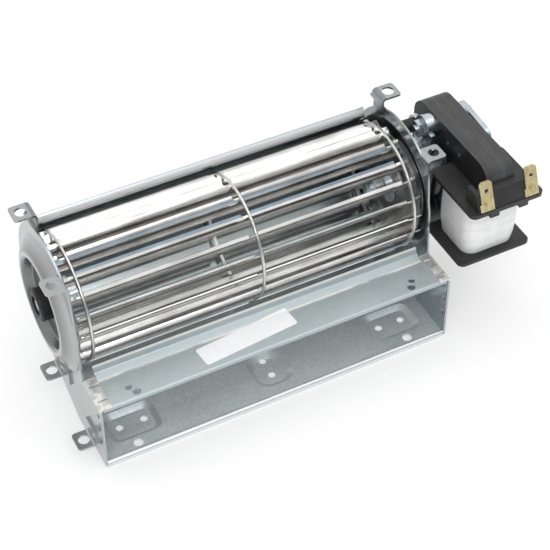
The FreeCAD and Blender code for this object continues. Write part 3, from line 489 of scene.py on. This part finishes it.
def taped_coil():
    """The winding bulges a little between the flanges, so its tape is barrel shaped."""
    low, high = (Vector(corner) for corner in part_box("coil_winding"))
    middle = (low + high) / 2
    size = high - low
    bpy.ops.object.select_all(action="DESELECT")
    bpy.ops.mesh.primitive_cube_add(size=1.0, location=middle)
    coil = bpy.context.object
    coil.name = "taped_coil"
    bpy.ops.transform.resize(value=size)
    bpy.ops.object.transform_apply(location=True, rotation=True, scale=True)
    bpy.ops.object.mode_set(mode="EDIT")
    bpy.ops.mesh.select_mode(type="EDGE")
    bpy.ops.mesh.select_all(action="DESELECT")
    bpy.ops.object.mode_set(mode="OBJECT")
    for edge in coil.data.edges:
        first, second = (coil.data.vertices[v].co for v in edge.vertices)
        edge.select = abs(first.z - second.z) > size.z / 2
    bpy.ops.object.mode_set(mode="EDIT")
    bpy.ops.mesh.bevel(offset=tape_corner, segments=tape_corner_steps, profile=0.5)
    for row in range(1, tape_rows):
        level = low.z + size.z * row / tape_rows
        bpy.ops.mesh.select_all(action="SELECT")
        bpy.ops.mesh.bisect(plane_co=(middle.x, middle.y, level), plane_no=(0, 0, 1))
    for row in range(tape_rows + 1):
        level = low.z + size.z * row / tape_rows
        bulge = 1.0 - tape_waist * abs(2 * row / tape_rows - 1) ** tape_curve
        bpy.ops.mesh.select_all(action="DESELECT")
        bpy.ops.object.mode_set(mode="OBJECT")
        for vertex in coil.data.vertices:
            vertex.select = abs(vertex.co.z - level) < 1e-5
        bpy.ops.object.mode_set(mode="EDIT")
        bpy.ops.mesh.select_mode(type="VERT")
        bpy.ops.transform.resize(value=(bulge, bulge, 1.0), center_override=middle)
    bpy.ops.mesh.select_all(action="SELECT")
    bpy.ops.mesh.normals_make_consistent(inside=False)
    bpy.ops.object.mode_set(mode="OBJECT")
    bpy.ops.object.shade_smooth_by_angle(angle=tape_smooth)
    bpy.ops.object.origin_set(type="ORIGIN_CURSOR")
    coil.data.materials.append(white_tape)
    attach(coil, "housing")
    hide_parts("coil_winding")


white_tape = tape()
give(white_tape, "coil_winding")
taped_coil()


def brass():
    material, start, place = finish_start("terminal_brass")
    lines = noise(stretched(place, (1, 1, 0.2)), 600.0, 3.0)
    colour = lines.limited(0.35, 0.65).mixed(brass_deep, brass_pale)
    return finish_end(material, {
        "Base Color": colour, "Metallic": 1.0, "Roughness": lines * 0.25 + 0.2}, lines, 0.08)


give(brass(), "terminals")

# ---------------------------------------------------------------------------
# Motor brackets. Bright zinc plated arms that carry the shaft sleeves; the
# front one hangs on the two rubber posts, the rear one is screwed to the stack.
# ---------------------------------------------------------------------------

bracket_zinc = aluminium(
    "bracket_zinc", (0.62, 0.68, 0.72), (0.50, 0.56, 0.60), (0.3, 0.3, 0.3), 0.25)
give(bracket_zinc, "front_motor_bracket", "rear_motor_bracket")

# ---------------------------------------------------------------------------
# Studio. A pale floor, a pale world and soft lamps; the camera stands where
# the photograph was taken from.
# ---------------------------------------------------------------------------

floor_size = 8.0
floor_white, floor_grey = (1, 1, 1), (0.96, 0.96, 0.96)
far_dusk = (0.30, 0.26, 0.23)
sky_white, sky_low = (1.0, 1.0, 1.0), (0.17, 0.145, 0.13)
sky_rear, sky_top = (0.94, 0.94, 0.94), (0.96, 0.96, 0.96)
card_blue = (0.42, 0.72, 1.0)
camera_place = (-0.2164, -0.4295, 0.5404)
camera_right = (0.8885, -0.4590, 0.0)
camera_up = (0.3234, 0.6260, 0.7097)
camera_back = (-0.3257, -0.6305, 0.7046)

bpy.ops.object.select_all(action="DESELECT")
bpy.ops.mesh.primitive_plane_add(size=floor_size, location=(0, 0, 0))
floor = bpy.context.object
floor.name = "studio_floor"
material, start, place = finish_start("floor_paper")
reach = place.node("VectorMath", {"operation": "LENGTH"}, {"Vector": place}, out="Value")
floor_tone = reach.limited(0.2, 0.9).mixed(floor_grey, floor_white)
finish_end(material, {"Base Color": floor_tone, "Roughness": 0.9, "Specular IOR Level": 0.0})
camera_ray = start.node("LightPath", {}, {}, out="Is Camera Ray")
glossy_ray = start.node("LightPath", {}, {}, out="Is Glossy Ray")
seen = (camera_ray + glossy_ray).limited(0, 1)
far_left = part_of(place, "X").falling(-0.9, -0.45) * glossy_ray
glow = start.node("Emission", {}, {
    "Color": (far_left * 0.85).mixed(floor_white, far_dusk), "Strength": 1.0})
body = Wire(material.node_tree, material.node_tree.nodes["Principled BSDF"].outputs[0])
blend = start.node("MixShader", {}, {
    "Fac": reach.limited(0.2, 0.6, 0.45, 1.0) * seen, "Shader": body, "Shader_001": glow})
material.node_tree.links.new(blend.socket, material.node_tree.nodes["Material Output"].inputs[0])
floor.data.materials.append(material)

world = bpy.data.worlds.new("studio")
bpy.context.scene.world = world
world.use_nodes = True
way = Wire(world.node_tree).node("TexCoord", {}, {}, out="Generated")
north = part_of(way, "Y")
height = part_of(way, "Z")
front = height.limited(0.3, 0.8).mixed(sky_low, sky_white)
card = height.limited(0.08, 0.11) * height.falling(0.24, 0.28) * north.falling(-0.85, -0.6)
front = card.mixed(front, card_blue)
around = north.limited(-0.1, 0.5).mixed(front, sky_rear)
sky = height.limited(0.72, 0.9).mixed(around, sky_top)
backdrop = world.node_tree.nodes["Background"]
world.node_tree.links.new(sky.socket, backdrop.inputs["Color"])
backdrop.inputs["Strength"].default_value = 1.0


def softbox(name, place, aim, width, height, power):
    lamp = bpy.data.lights.new(name, "AREA")
    lamp.shape = "RECTANGLE"
    lamp.size = width
    lamp.size_y = height
    lamp.energy = power
    holder = bpy.data.objects.new(name, lamp)
    holder.location = place
    holder.rotation_euler = (Vector(aim) - Vector(place)).to_track_quat("-Z", "Y").to_euler()
    bpy.context.collection.objects.link(holder)


softbox("top_light", (0.25, 0.15, 1.3), (0, 0, 0.03), 1.6, 0.5, 3.0)
softbox("front_light", (-0.3, -0.95, 1.25), (0, 0, 0.05), 1.4, 0.6, 9.0)

camera = bpy.data.objects.new("camera", bpy.data.cameras.new("camera"))
camera.data.lens = 104.1
camera.data.sensor_width = 36.0
turn = Matrix((camera_right, camera_up, camera_back)).transposed().to_4x4()
camera.matrix_world = Matrix.Translation(camera_place) @ turn
bpy.context.collection.objects.link(camera)
bpy.context.scene.camera = camera
bpy.context.scene.view_settings.view_transform = "Standard"
